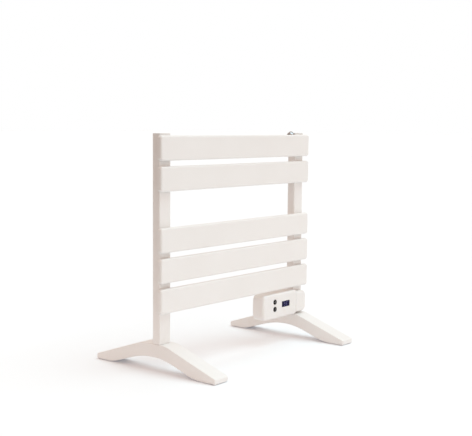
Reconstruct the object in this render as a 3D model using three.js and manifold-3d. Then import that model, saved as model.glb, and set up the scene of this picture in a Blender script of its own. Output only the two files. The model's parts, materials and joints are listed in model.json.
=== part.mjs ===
// Free-standing electric towel rail: five hollow flat panels on two tube posts, two arched feet, and a
// control box at the lower right. Millimetres, +Z up, X along the panels, the front facing -Y. The model is
// drawn about the middle of the panels and moved at the end, to put the origin at the footprint's centre.
import * as THREE from "three";
import { mergeVertices } from "three/addons/utils/BufferGeometryUtils.js";
import Module from "manifold-3d";

const wasm = await Module();
wasm.setup();

// Driving dimensions.
const GAP = 0.3; // between any two pieces that touch
const PANEL = { length: 500, height: 50, depth: 12, wall: 1.5, corner: 6, edge: 4, top: 475.5, pitch: 61 };
const PANEL_SLOTS = [0, 1, 3, 4, 5]; // the third slot is left empty, for a folded towel
const POST = { width: 32, depth: 20, wall: 1.5, corner: 2.5, x: 226, y: -6, bottom: 57.3, top: 478 };
const CAP_THICKNESS = 1.2;
const PORT_RADIUS = 4;
const BOSS = { bottom: 104, height: 8, bore: 6.6 };
const HEATER = { rod: 4, top: 400, head: 7.5, headHeight: 8 };
const PROBE = { x: 10.4, radius: 1.6, height: 18 };
const VALVE = { z: 473, radius: 10, thread: 3, nose: 199.5 };
const BOX = { left: 76, seam: 200, bottom: 57.3, top: 114, front: -32, back: -1, wall: 2 };
const BOX_EDGE = 4;
const BOX_END = { bulge: 3, corner: 9 }; // the left end's outline
const END_CAP = { right: 240, bottom: 60.5, top: 109.5, front: -31.4, corner: 12 };
const RIM = { ledge: 0.8, depth: 2.6 }; // the step in the front cover that the rear cover sits in
const POST_FACE = POST.y - POST.depth / 2 - GAP; // where the end cap and the panels meet the post
const END_CAP_SIDE = POST.x - POST.width / 2 - 1.3; // where the end cap passes the post's inner side
const END_CAP_SCREW = { x: 231, y: -23 };
const BUTTON = { x: 119, heights: [96, 79.5], radius: 5.5, proud: 1, back: -26.2 };
const BUTTON_NAMES = ["up", "down"];
const DISPLAY = { x: 160, z: 87.5, width: 30, height: 14 };
const BOARD = { left: 89, right: 196.5, bottom: 62, top: 109, front: -20.6, thickness: 1.6 };
const PILLARS = [[95, 66.5], [95, 104.5], [191, 66.5], [191, 104.5]];
const PILLAR = { radius: 3, pilot: 1.4 };
const TERMINAL = { left: 171, right: 185, z: 77 };
const GLAND = { x: 112, z: 77, radius: 5 };
const WINDOW = { y: -8, z: 79, depth: 10, height: 26 }; // where the leads pass from the box into the post
const LEAD_LANES = [-10.4, -8, -5.6];
const LEAD_NAMES = ["live", "neutral", "earth"];
const FOOT = { width: 40, front: 156, back: 175, edge: 1.5 };
const FOOT_HEIGHT = { tip: 11.5, platform: 57, sole: 1, apex: 29.5 };
const SHOULDER = { front: 12, back: 30, length: 20, drop: 3.2 }; // where the foot's top turns down
const SOLE_LENGTH = { front: 38, back: 35 }; // the flat stretch over each pad
const FOOT_X = POST.x + POST.width / 2 - FOOT.width / 2; // flush with the post's outer side
const PAD = { width: 32, length: 26, thickness: 2.2, inset: 18 };
const PAD_PLACES = { front: PAD.inset - FOOT.front, back: FOOT.back - PAD.inset };
const FOOT_SCREW = { offset: 7, radius: 2.3, head: 4.4, seat: 44, top: 68.5 };
const INSERT_HEIGHT = 14;
const BASE_SCREW_Z = 64.5;

// Finishes: colour, roughness, metalness.
const PAINT = [0xebe6e1, 0.45, 0.1];
const WHITE_PLASTIC = [0xe9e4e0, 0.4, 0];
const BLACK_PLASTIC = [0x141414, 0.35, 0];
const DARK_GLASS = [0x14123a, 0.12, 0];
const RUBBER = [0x2b2b2b, 0.9, 0];
const GREY_RUBBER = [0xb9b5b1, 0.8, 0];
const CHROME = [0xc9cbcd, 0.18, 1];
const STEEL = [0xa8aaac, 0.4, 1];
const DARK_STEEL = [0x3c3a38, 0.4, 1];
const BRASS = [0xb8944c, 0.35, 1];
const BOARD_GREEN = [0x1f5a35, 0.5, 0];
const PART_BLUE = [0x2a5c9c, 0.5, 0];

// Closed mesh to solid and back.
function toSolid(geometry) {
  const bare = geometry.clone();
  bare.deleteAttribute("normal");
  bare.deleteAttribute("uv");
  const merged = mergeVertices(bare, 1e-4);
  const vertProperties = new Float32Array(merged.attributes.position.array);
  const triVerts = new Uint32Array(merged.index.array);
  return new wasm.Manifold(new wasm.Mesh({ numProp: 3, vertProperties, triVerts }));
}

function toGeometry(solid) {
  const mesh = solid.getMesh();
  const geometry = new THREE.BufferGeometry();
  geometry.setAttribute("position", new THREE.BufferAttribute(mesh.vertProperties, 3));
  geometry.setIndex(new THREE.BufferAttribute(mesh.triVerts, 1));
  geometry.computeVertexNormals();
  return geometry;
}

function carve(base, cutters) {
  return toGeometry(cutters.reduce((solid, cutter) => solid.subtract(toSolid(cutter)), toSolid(base)));
}

function weld(base, pieces) {
  return toGeometry(pieces.reduce((solid, piece) => solid.add(toSolid(piece)), toSolid(base)));
}

// Outlines and extrusions. Each extrusion is centred on its own axis, and edge rounds both ends.
function roundedRectangle(width, height, radius) {
  const x = width / 2;
  const y = height / 2;
  const shape = new THREE.Shape();
  shape.absarc(x - radius, y - radius, radius, 0, Math.PI / 2);
  shape.absarc(radius - x, y - radius, radius, Math.PI / 2, Math.PI);
  shape.absarc(radius - x, radius - y, radius, Math.PI, 1.5 * Math.PI);
  shape.absarc(x - radius, radius - y, radius, 1.5 * Math.PI, 2 * Math.PI);
  shape.closePath();
  return shape;
}

function extrude(shape, length, edge = 0, curveSegments = 2) {
  const geometry = new THREE.ExtrudeGeometry(shape, {
    depth: length - 2 * edge,
    bevelEnabled: edge > 0,
    bevelThickness: edge,
    bevelSize: edge,
    bevelOffset: -edge,
    bevelSegments: 2,
    curveSegments,
  });
  return geometry.translate(0, 0, edge - length / 2);
}

// The outline's x stays X and its y becomes Z.
function extrudeAlongY(shape, length, edge, curveSegments) {
  return extrude(shape, length, edge, curveSegments).rotateX(Math.PI / 2);
}

// The outline's x becomes Y and its y becomes Z.
function extrudeAlongX(shape, length, edge, curveSegments) {
  const turn = new THREE.Matrix4().makeBasis(
    new THREE.Vector3(0, 1, 0),
    new THREE.Vector3(0, 0, 1),
    new THREE.Vector3(1, 0, 0),
  );
  return extrude(shape, length, edge, curveSegments).applyMatrix4(turn);
}

function rod(radius, length, axis, sides = 12) {
  const geometry = new THREE.CylinderGeometry(radius, radius, length, sides);
  if (axis === "x") geometry.rotateZ(Math.PI / 2);
  if (axis === "z") geometry.rotateX(Math.PI / 2);
  return geometry;
}

function block(from, to) {
  const size = to.map((value, i) => value - from[i]);
  return new THREE.BoxGeometry(...size).translate(...from.map((value, i) => value + size[i] / 2));
}

// A turned piece: the profile is a list of [radius, height] from bottom to top, about +Z.
function turned(profile, sides = 16) {
  const points = profile.map(([radius, height]) => new THREE.Vector2(radius, height));
  return new THREE.LatheGeometry(points, sides).rotateX(Math.PI / 2);
}

function ring(inner, outer, height, sides = 16) {
  return turned([[inner, 0], [outer, 0], [outer, height], [inner, height], [inner, 0]], sides);
}

const model = new THREE.Group();

function addPart(parent, name, geometry, finish, position = [0, 0, 0]) {
  const [color, roughness, metalness] = finish;
  const mesh = new THREE.Mesh(geometry, new THREE.MeshStandardMaterial({ color, roughness, metalness }));
  mesh.name = name;
  mesh.position.set(...position);
  parent.add(mesh);
  return mesh;
}

// Panels: hollow flat tubes with a port at the back for each post.
const panelCentres = PANEL_SLOTS.map((slot) => PANEL.top - PANEL.height / 2 - slot * PANEL.pitch);
const panelY = POST_FACE - PANEL.depth / 2;

function panelGeometry() {
  const { length, height, depth, wall, corner, edge } = PANEL;
  const body = extrudeAlongY(roundedRectangle(length, height, corner), depth, edge);
  const inside = roundedRectangle(length - 2 * wall, height - 2 * wall, corner - wall);
  const cavity = extrudeAlongY(inside, depth - 2 * wall, edge - wall, 1);
  const ports = [-POST.x, POST.x].map((x) => rod(PORT_RADIUS, 2 * wall, "y", 8).translate(x, depth / 2, 0));
  return carve(body, [cavity, ...ports]);
}

function addPanels() {
  panelCentres.forEach((z, i) => {
    addPart(model, `panel_${i + 1}`, panelGeometry(), PAINT, [0, panelY, z]);
  });
}

// Posts: tubes with a port to each panel. Local X points away from the middle of the rail on both sides.
function postGeometry(cutters) {
  const { width, depth, wall, corner, bottom, top } = POST;
  const outline = roundedRectangle(width, depth, corner);
  outline.holes.push(roundedRectangle(width - 2 * wall, depth - 2 * wall, corner - wall));
  const tube = extrude(outline, top - bottom).translate(0, 0, (top + bottom) / 2);
  const ports = panelCentres.map((z) => rod(PORT_RADIUS, 4 * wall, "y", 8).translate(0, -depth / 2, z));
  return carve(tube, [...ports, ...cutters]);
}

// A block that fits the inside of the post.
function plugGeometry(height) {
  const fit = 2 * POST.wall + 2 * GAP;
  return extrude(roundedRectangle(POST.width - fit, POST.depth - fit, 1), height, 0, 1);
}

function capGeometry() {
  const plate = extrude(roundedRectangle(POST.width, POST.depth, POST.corner), CAP_THICKNESS, 0.5);
  const spigot = extrude(roundedRectangle(13, POST.depth - 2 * POST.wall - 2 * GAP, 1), 5, 0, 1);
  return weld(plate, [spigot.translate(0, 0, -2.5)]);
}

function insertGeometry(sideHole) {
  const holes = [-1, 1].map((way) => rod(FOOT_SCREW.radius + GAP, 2 * INSERT_HEIGHT, "z").translate(
    way * FOOT_SCREW.offset, 0, 0));
  return carve(plugGeometry(INSERT_HEIGHT), [...holes, sideHole]);
}

function baseScrewGeometry() {
  return turned([[0, -4.4], [1.5, -4.4], [1.5, GAP], [3.4, GAP], [3.4, 1.1], [2.2, 2.1], [0, 2.1]], 12);
}

// Feet: arches whose ends rest on rubber pads.
function footOutline() {
  const { front, back } = FOOT;
  const { tip, platform, sole, apex } = FOOT_HEIGHT;
  const { length, drop } = SHOULDER;
  const middle = 10; // the arch is highest a little behind the post's axis
  const shape = new THREE.Shape();
  shape.moveTo(-front, sole);
  shape.lineTo(-front, tip - 3);
  shape.quadraticCurveTo(-front, tip, 4 - front, tip + 1.5);
  shape.lineTo(-SHOULDER.front - length, platform - drop);
  shape.quadraticCurveTo(-SHOULDER.front - length / 2, platform, -SHOULDER.front, platform);
  shape.lineTo(SHOULDER.back, platform);
  shape.quadraticCurveTo(SHOULDER.back + length / 2, platform, SHOULDER.back + length, platform - drop);
  shape.lineTo(back - 4, tip + 1.5);
  shape.quadraticCurveTo(back, tip, back, tip - 3);
  shape.lineTo(back, sole);
  shape.lineTo(back - SOLE_LENGTH.back, sole);
  shape.bezierCurveTo(middle + 98, sole, middle + 58, apex, middle, apex);
  shape.bezierCurveTo(middle - 55, apex, middle - 90, sole, SOLE_LENGTH.front - front, sole);
  shape.closePath();
  return shape;
}

function footGeometry(postOffset) {
  const body = extrudeAlongX(footOutline(), FOOT.width, FOOT.edge, 8);
  const screwHoles = [-1, 1].flatMap((way) => {
    const x = postOffset + way * FOOT_SCREW.offset;
    return [
      rod(FOOT_SCREW.radius + GAP, 60, "z").translate(x, 0, FOOT_HEIGHT.platform),
      rod(FOOT_SCREW.head + 0.5, 30, "z").translate(x, 0, FOOT_SCREW.seat - 15),
    ];
  });
  const pockets = Object.values(PAD_PLACES).map((y) => {
    return extrude(padOutline(GAP), 2 * (PAD.thickness + GAP)).translate(0, y, 0);
  });
  return carve(body, [...screwHoles, ...pockets]);
}

function footScrewGeometry() {
  const { radius, head, seat, top } = FOOT_SCREW;
  const floor = seat - GAP;
  const screw = turned([
    [0, floor - 5], [head, floor - 5], [head, floor], [radius, floor], [radius, top], [0, top],
  ]);
  const socket = rod(2.2, 4, "z", 6).translate(0, 0, floor - 4.6);
  return carve(screw, [socket]);
}

// Pads: each sits in a shallow pocket in the sole.
function padOutline(margin) {
  return roundedRectangle(PAD.width + 2 * margin, PAD.length + 2 * margin, 5 + margin);
}

function padGeometry() {
  return extrude(padOutline(0), PAD.thickness, 0.5);
}

// One post with its cap, insert, foot, pads and screws. side is -1 on the left and 1 on the right.
function addSide(side, postCutters, screwSide) {
  const label = side < 0 ? "left" : "right";
  const group = new THREE.Group();
  group.position.set(side * POST.x, POST.y, 0);
  model.add(group);
  const screwHole = rod(1.8, 12, screwSide === "rear" ? "y" : "x");
  const screwPlace = screwSide === "rear" ? [0, POST.depth / 2, 0] : [-side * POST.width / 2, 0, 0];
  const postHole = screwHole.clone().translate(screwPlace[0], screwPlace[1], BASE_SCREW_Z);
  const insertZ = POST.bottom + GAP + INSERT_HEIGHT / 2;
  const insertHole = screwHole.clone().translate(screwPlace[0], screwPlace[1], BASE_SCREW_Z - insertZ);
  addPart(group, `post_${label}`, postGeometry([postHole, ...postCutters]), PAINT);
  addPart(group, `post_cap_${label}`, capGeometry(), PAINT, [0, 0, POST.top + GAP + CAP_THICKNESS / 2]);
  addPart(group, `foot_insert_${label}`, insertGeometry(insertHole), STEEL, [0, 0, insertZ]);
  const footOffset = side * (FOOT_X - POST.x);
  addPart(group, `foot_${label}`, footGeometry(-footOffset), PAINT, [footOffset, 0, 0]);
  [-1, 1].forEach((way, i) => {
    const name = `foot_screw_${label}_${i + 1}`;
    addPart(group, name, footScrewGeometry(), STEEL, [way * FOOT_SCREW.offset, 0, 0]);
  });
  Object.entries(PAD_PLACES).forEach(([end, y]) => {
    const place = [footOffset, y, PAD.thickness / 2];
    addPart(group, `foot_pad_${label}_${end}`, padGeometry(), GREY_RUBBER, place);
  });
  const screw = addPart(group, `base_screw_${label}`, baseScrewGeometry(), STEEL,
    [screwPlace[0], screwPlace[1], BASE_SCREW_Z]);
  if (screwSide === "rear") screw.rotation.x = -Math.PI / 2;
  else screw.rotation.y = -side * Math.PI / 2;
  return group;
}

// Heating element and what seals and guards it, in the right post.
function bossGeometry() {
  const bore = rod(BOSS.bore, 2 * BOSS.height, "z", 16);
  const probeHole = rod(PROBE.radius + GAP, 2 * BOSS.height, "z", 10).translate(PROBE.x, 0, 0);
  return carve(plugGeometry(BOSS.height), [bore, probeHole]);
}

function heaterGeometry() {
  const collar = BOSS.bore - GAP;
  const seat = BOSS.bottom - 2;
  const stem = turned([
    [0, seat - 2], [8, seat - 2], [8, seat], [collar, seat], [collar, BOSS.bottom + BOSS.height + 2],
    [HEATER.rod, BOSS.bottom + BOSS.height + 5], [HEATER.rod, HEATER.top - 3], [2.4, HEATER.top - 0.8],
    [0, HEATER.top],
  ]);
  const hexRadius = HEATER.head / Math.cos(Math.PI / 6);
  const head = rod(hexRadius, HEATER.headHeight, "z", 6).rotateZ(Math.PI / 6);
  head.translate(0, 0, seat - 1.5 - HEATER.headHeight / 2);
  const tabTop = seat - HEATER.headHeight;
  const tabs = LEAD_LANES.map((lane) => {
    const y = lane - POST.y;
    return block([-2.5, y - 0.4, tabTop - 8], [2.5, y + 0.4, tabTop]);
  });
  return weld(stem, [head, ...tabs]);
}

function probeGeometry() {
  const top = BOSS.bottom + BOSS.height + 4;
  const bottom = top - PROBE.height - 4;
  return turned([[0, bottom], [PROBE.radius, bottom], [PROBE.radius, top], [0, top + 1]], 10);
}

function addHeater(group) {
  addPart(group, "heater_boss", bossGeometry(), STEEL, [0, 0, BOSS.bottom + BOSS.height / 2]);
  addPart(group, "heating_element", heaterGeometry(), STEEL);
  addPart(group, "heater_gasket", ring(BOSS.bore, 8, 1.4), RUBBER, [0, 0, BOSS.bottom - 1.7]);
  addPart(group, "temperature_probe", probeGeometry(), BRASS, [PROBE.x, 0, 0]);
  const cutoff = extrudeAlongX(roundedRectangle(9, 12, 1.5), 3.5, 0.4, 1);
  addPart(group, "thermal_cutoff", cutoff, WHITE_PLASTIC, [11.8, 0, 78]);
}

// Bleed valve on the inner face of the right post, its axis along X.
function addValve(group) {
  const face = -POST.width / 2;
  const length = POST.x - POST.width / 2 - VALVE.nose;
  const body = turned([
    [0, -5], [VALVE.thread - GAP, -5], [VALVE.thread - GAP, 1.6], [VALVE.radius, 1.6], [VALVE.radius, 3.4],
    [8.8, 6], [6.4, length - 1], [5.4, length], [3.4, length], [3.4, 5], [0, 5],
  ], 20).rotateY(-Math.PI / 2);
  addPart(group, "bleed_valve_body", body, CHROME, [face, 0, VALVE.z]);
  const screw = turned([[0, 5.3], [3, 5.3], [3, length - 0.8], [2.4, length - 0.2], [0, length - 0.2]], 14);
  const slot = block([-4, -0.5, length - 1.6], [4, 0.5, length + 1]);
  const slotted = carve(screw, [slot]).rotateY(-Math.PI / 2);
  addPart(group, "bleed_screw", slotted, BLACK_PLASTIC, [face, 0, VALVE.z]);
  const seal = ring(VALVE.thread, 7, 1).rotateY(-Math.PI / 2);
  addPart(group, "bleed_seal", seal, RUBBER, [face - GAP, 0, VALVE.z]);
}

// Control box: a front cover, bulged and rounded at its left end, a rear cover set in its back, and an end
// cap over the front of the post. The end cap's open left side meets the front cover at the seam.
function coverOutline(inset) {
  const left = BOX.left + inset;
  const right = BOX.seam - GAP - inset;
  const bottom = BOX.bottom + inset;
  const top = BOX.top - inset;
  const { bulge } = BOX_END;
  const corner = BOX_END.corner - inset;
  const shape = new THREE.Shape();
  shape.moveTo(right, bottom);
  shape.lineTo(right, top);
  shape.lineTo(left + bulge + corner, top);
  shape.quadraticCurveTo(left + bulge, top, left + 1, top - corner);
  shape.quadraticCurveTo(left - 1, (top + bottom) / 2, left + 1, bottom + corner);
  shape.quadraticCurveTo(left + bulge, bottom, left + bulge + corner, bottom);
  shape.closePath();
  return shape;
}

function endCapOutline(inset) {
  const right = END_CAP.right - inset;
  const bottom = END_CAP.bottom + inset;
  const top = END_CAP.top - inset;
  const corner = END_CAP.corner - inset;
  const shape = new THREE.Shape();
  shape.moveTo(BOX.seam, bottom);
  shape.lineTo(right - corner, bottom);
  shape.absarc(right - corner, bottom + corner, corner, 1.5 * Math.PI, 2 * Math.PI);
  shape.absarc(right - corner, top - corner, corner, 0, Math.PI / 2);
  shape.lineTo(BOX.seam, top);
  shape.closePath();
  return shape;
}

function alongY(shape, front, back, edge, curveSegments) {
  return extrudeAlongY(shape, back - front, edge, curveSegments).translate(0, (front + back) / 2, 0);
}

// A shell with its front edges rounded and its back square.
function roundedFront(outline, front, back, edge) {
  const rounded = alongY(outline, front, back + edge, edge, 5);
  return carve(rounded, [block([0, back, 0], [2 * PANEL.length, back + 2 * edge, PANEL.top])]);
}

function leadWindow(x) {
  return block(
    [x - BOX.wall, WINDOW.y - WINDOW.depth / 2, WINDOW.z - WINDOW.height / 2],
    [x + BOX.wall, WINDOW.y + WINDOW.depth / 2, WINDOW.z + WINDOW.height / 2],
  );
}

function displayPlate(margin, front, back) {
  const outline = roundedRectangle(DISPLAY.width + margin, DISPLAY.height + margin, 1);
  return alongY(outline, front, back, 0, 1).translate(DISPLAY.x, 0, DISPLAY.z);
}

function pillarGeometry(x, z) {
  const front = BOX.front + 1;
  const back = BOX.back - RIM.depth - GAP;
  const pillar = rod(PILLAR.radius, back - front, "y", 10).translate(x, (front + back) / 2, z);
  const pilot = rod(PILLAR.pilot, 24, "y", 8).translate(x, back, z);
  return carve(pillar, [pilot]);
}

function frontCoverGeometry() {
  const { front, back, wall, seam } = BOX;
  const inside = alongY(coverOutline(wall), front + wall, back + 5, 0, 5);
  const rim = alongY(coverOutline(wall - RIM.ledge), back - RIM.depth, back + 5, 0, 5);
  const displayHole = displayPlate(0, front - 3, front + 5);
  const buttonHoles = BUTTON.heights.map((z) => {
    return rod(BUTTON.radius + GAP, 12, "y", 20).translate(BUTTON.x, front, z);
  });
  const cutters = [inside, rim, leadWindow(seam - GAP - wall / 2), displayHole, ...buttonHoles];
  const shell = roundedFront(coverOutline(0), front, back, BOX_EDGE);
  return weld(carve(shell, cutters), PILLARS.map(([x, z]) => pillarGeometry(x, z)));
}

function rearCoverGeometry() {
  const { back, wall } = BOX;
  const plate = alongY(coverOutline(wall - RIM.ledge + GAP), back - RIM.depth + GAP, back, 0.4, 5);
  const screwHoles = PILLARS.map(([x, z]) => rod(1.5, 12, "y", 10).translate(x, back, z));
  const glandHole = rod(GLAND.radius + GAP, 12, "y", 16).translate(GLAND.x, back, GLAND.z);
  return carve(plate, [...screwHoles, glandHole]);
}

function endCapGeometry() {
  const { back, wall, seam } = BOX;
  const { front, right, bottom } = END_CAP;
  const far = [right + 1, back + 1, END_CAP.top];
  const postPocket = block([END_CAP_SIDE, POST_FACE, 0], far);
  const mouth = alongY(endCapOutline(wall), front + wall, POST_FACE + 0.5, 0, 5);
  const throat = carve(alongY(endCapOutline(wall), front + wall, back - wall, 0, 5), [
    block([END_CAP_SIDE - wall, front, 0], far),
  ]);
  const top = END_CAP.top - wall;
  const leftSide = block([seam - 1, front + wall, bottom + wall], [seam + 1, back - wall, top]);
  const screwHole = rod(1.5, 12, "z", 10).translate(END_CAP_SCREW.x, END_CAP_SCREW.y, bottom);
  const window = leadWindow(END_CAP_SIDE - wall / 2);
  const shell = roundedFront(endCapOutline(0), front, back, BOX_EDGE);
  return carve(shell, [postPocket, mouth, throat, leftSide, screwHole, window]);
}

function coverScrewGeometry() {
  return turned([[0, -9], [1.1, -9], [1.1, GAP], [2.7, GAP], [2.7, 0.9], [1.8, 1.7], [0, 1.7]], 12);
}

function addBox() {
  addPart(model, "control_front_cover", frontCoverGeometry(), WHITE_PLASTIC);
  addPart(model, "control_rear_cover", rearCoverGeometry(), WHITE_PLASTIC);
  addPart(model, "control_end_cap", endCapGeometry(), WHITE_PLASTIC);
  PILLARS.forEach(([x, z], i) => {
    const screw = addPart(model, `cover_screw_${i + 1}`, coverScrewGeometry(), STEEL, [x, BOX.back, z]);
    screw.rotation.x = -Math.PI / 2;
  });
  const capScrewPlace = [END_CAP_SCREW.x, END_CAP_SCREW.y, END_CAP.bottom];
  const capScrew = addPart(model, "end_cap_screw", coverScrewGeometry(), DARK_STEEL, capScrewPlace);
  capScrew.rotation.x = Math.PI;
}

// Buttons, display and the parts that they need behind them.
function buttonGeometry() {
  const { radius, proud, back } = BUTTON;
  const front = proud - BOX.front;
  const flange = -BOX.front - BOX.wall - GAP;
  return turned([
    [0, -back], [2.2, -back], [2.2, flange - 1.4], [radius + 1.6, flange - 1.4], [radius + 1.6, flange],
    [radius, flange], [radius, front - 0.7], [radius - 0.8, front - 0.1], [0, front],
  ], 20).rotateX(Math.PI / 2);
}

function switchGeometry() {
  const body = block([-3, BOARD.front - 3.3, -3], [3, BOARD.front - GAP, 3]);
  const nub = rod(1.7, 3, "y", 10).translate(0, BOARD.front - 3.3, 0);
  return weld(body, [nub.translate(0, 0.3, 0)]);
}

function addControls() {
  BUTTON.heights.forEach((z, i) => {
    addPart(model, `button_${BUTTON_NAMES[i]}`, buttonGeometry(), BLACK_PLASTIC, [BUTTON.x, 0, z]);
    addPart(model, `switch_${BUTTON_NAMES[i]}`, switchGeometry(), STEEL, [BUTTON.x, 0, z]);
  });
  const pane = displayPlate(-2 * GAP, BOX.front + 0.2, BOX.front + BOX.wall + 1);
  const flange = displayPlate(3, BOX.front + BOX.wall + GAP, BOX.front + BOX.wall + 1.5);
  addPart(model, "display_window", weld(pane, [flange]), DARK_GLASS);
  const module = displayPlate(2, BOX.front + BOX.wall + 1.8, BOARD.front - GAP);
  addPart(model, "display_module", module, BLACK_PLASTIC);
}

// Circuit board and what stands on its back.
const boardBack = BOARD.front + BOARD.thickness + GAP;

function boardGeometry() {
  const { left, right, bottom, top, front, thickness } = BOARD;
  const outline = roundedRectangle(right - left, top - bottom, 2);
  const board = alongY(outline, front, front + thickness, 0, 1);
  board.translate((left + right) / 2, 0, (bottom + top) / 2);
  const holes = PILLARS.map(([x, z]) => rod(PILLAR.radius + GAP, 12, "y", 10).translate(x, front, z));
  return carve(board, holes);
}

function terminalGeometry() {
  const { left, right, z } = TERMINAL;
  const body = block([left, boardBack, z - 7], [right, -3.6, z + 7]);
  const mouths = LEAD_LANES.map((y) => rod(1.1, 8, "x", 8).translate(right - 2, y, z));
  return carve(body, mouths);
}

function addElectronics() {
  addPart(model, "control_board", boardGeometry(), BOARD_GREEN);
  addPart(model, "relay", block([152, boardBack, 68], [168, -6, 88]), PART_BLUE);
  const core = block([124, boardBack, 68], [148, -5.5, 80]);
  const coil = block([128, boardBack + 1, 66], [144, -4, 82]);
  addPart(model, "transformer", weld(core, [coil]), BRASS);
  const can = turned([[0, 0], [4, 0], [4, 10], [3.4, 11], [0, 11]], 14).rotateX(-Math.PI / 2);
  addPart(model, "capacitor", can, PART_BLUE, [140, boardBack, 98]);
  addPart(model, "terminal_block", terminalGeometry(), BLACK_PLASTIC);
  addPart(model, "tilt_switch", block([170, boardBack, 92], [182, -7, 104]), BLACK_PLASTIC);
}

// Leads from the terminal block, through the post's window, to the tabs of the heating element.
function leadGeometry(y) {
  const tabEnd = BOSS.bottom - 2 - HEATER.headHeight - 8 - GAP;
  const path = new THREE.CatmullRomCurve3([
    new THREE.Vector3(TERMINAL.right + GAP, y, TERMINAL.z),
    new THREE.Vector3(201, y, 76.5),
    new THREE.Vector3(217, y, 73.6),
    new THREE.Vector3(POST.x, y, 76),
    new THREE.Vector3(POST.x, y, tabEnd),
  ]);
  const section = new THREE.Shape().absarc(0, 0, 0.9, 0, 2 * Math.PI);
  const settings = { steps: 16, curveSegments: 3, bevelEnabled: false, extrudePath: path };
  return new THREE.ExtrudeGeometry(section, settings);
}

function addLeads() {
  LEAD_LANES.forEach((y, i) => {
    addPart(model, `lead_${LEAD_NAMES[i]}`, leadGeometry(y), [[0x7a4a2a, 0x2a4a9a, 0x4a8a3a][i], 0.6, 0]);
  });
}

// Cord gland in the rear cover, with its lock nut inside.
function addGland() {
  const { x, z, radius } = GLAND;
  const bore = 3.2;
  const inner = -7.5;
  const outer = 9.4;
  const gland = turned([
    [bore, inner], [radius, inner], [radius, GAP], [8, GAP], [8, 2.6], [6.4, 3], [5.4, outer], [bore, outer],
    [bore, inner],
  ]).rotateX(-Math.PI / 2);
  addPart(model, "cord_gland", gland, WHITE_PLASTIC, [x, BOX.back, z]);
  const nutBlank = rod(7.6, 2.6, "y", 6).translate(0, BOX.back - RIM.depth - 1.3, 0);
  const nut = carve(nutBlank, [rod(radius + GAP, 12, "y").translate(0, BOX.back, 0)]);
  addPart(model, "gland_nut", nut, WHITE_PLASTIC, [x, 0, z]);
}

const valveHole = rod(VALVE.thread, 12, "x").translate(-POST.width / 2, 0, VALVE.z);
const leadHole = block(
  [-POST.width / 2 - 3, WINDOW.y - POST.y - WINDOW.depth / 2, WINDOW.z - WINDOW.height / 2],
  [-POST.width / 2 + 3, WINDOW.y - POST.y + WINDOW.depth / 2, WINDOW.z + WINDOW.height / 2],
);
addPanels();
const leftGroup = addSide(-1, [], "inner");
const plugPlace = [0, 0, BOSS.bottom + BOSS.height / 2];
addPart(leftGroup, "post_plug_left", plugGeometry(BOSS.height), STEEL, plugPlace);
const rightGroup = addSide(1, [valveHole, leadHole], "rear");
addHeater(rightGroup);
addValve(rightGroup);
addBox();
addControls();
addElectronics();
addLeads();
addGland();
model.position.y = (FOOT.front - FOOT.back) / 2 - POST.y; // the origin at the centre of the footprint

export default model;
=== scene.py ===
"""Looks of a free-standing electric towel rail: satin white metal and a moulded control box.

Metres, +Z up, X along the panels, the front facing -Y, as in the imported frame.
"""

import json
import math

import bmesh
import bpy
from mathutils import Matrix, Vector


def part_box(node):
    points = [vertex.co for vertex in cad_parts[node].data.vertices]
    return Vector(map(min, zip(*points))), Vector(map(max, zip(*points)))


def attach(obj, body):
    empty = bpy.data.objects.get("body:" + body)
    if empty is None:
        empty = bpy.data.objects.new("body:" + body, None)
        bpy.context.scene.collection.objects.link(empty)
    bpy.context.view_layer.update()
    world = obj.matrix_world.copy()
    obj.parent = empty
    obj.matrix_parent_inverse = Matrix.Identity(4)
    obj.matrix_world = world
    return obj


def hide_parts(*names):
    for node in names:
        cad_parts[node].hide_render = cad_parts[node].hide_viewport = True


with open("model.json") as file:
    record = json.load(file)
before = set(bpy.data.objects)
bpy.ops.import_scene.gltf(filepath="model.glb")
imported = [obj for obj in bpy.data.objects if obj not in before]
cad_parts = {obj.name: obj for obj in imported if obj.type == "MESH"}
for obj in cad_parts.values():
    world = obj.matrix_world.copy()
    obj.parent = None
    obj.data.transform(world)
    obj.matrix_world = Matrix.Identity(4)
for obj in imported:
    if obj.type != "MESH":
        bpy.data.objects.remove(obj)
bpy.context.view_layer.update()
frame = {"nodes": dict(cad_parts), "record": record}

MM = 0.001
BODY = "rail"
SIDES = ("left", "right")

# The camera, as a level bearing, a tilt down and a roll, in degrees.
CAMERA_PLACE = (-1.6048, -1.3329, 0.4952)
CAMERA_BEARING = -50.63
CAMERA_TILT = 5.49
CAMERA_ROLL = 0.421
CAMERA_LENS = 73.17
SENSOR = 36.0

# The studio: where the paper floor ends at the left, what it gives off, the colour and strength of the
# light from all round, and each soft light's direction, strength, spread and colour.
FLOOR_LEFT = -0.95
FLOOR_GLOW = (0.075, 0.080, 0.095)
WORLD_FILL = ((1.0, 0.795, 0.694), 0.80)
SUNS = {
    "overhead": ((0.30, -0.22, 0.93), 1.82, 60.0, (0.577, 0.883, 1.0)),
    "front_fill": ((-0.30, -1.0, 0.10), 0.47, 50.0, (0.823, 0.943, 1.0)),
}


# ---------------------------------------------------------------- materials


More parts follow.
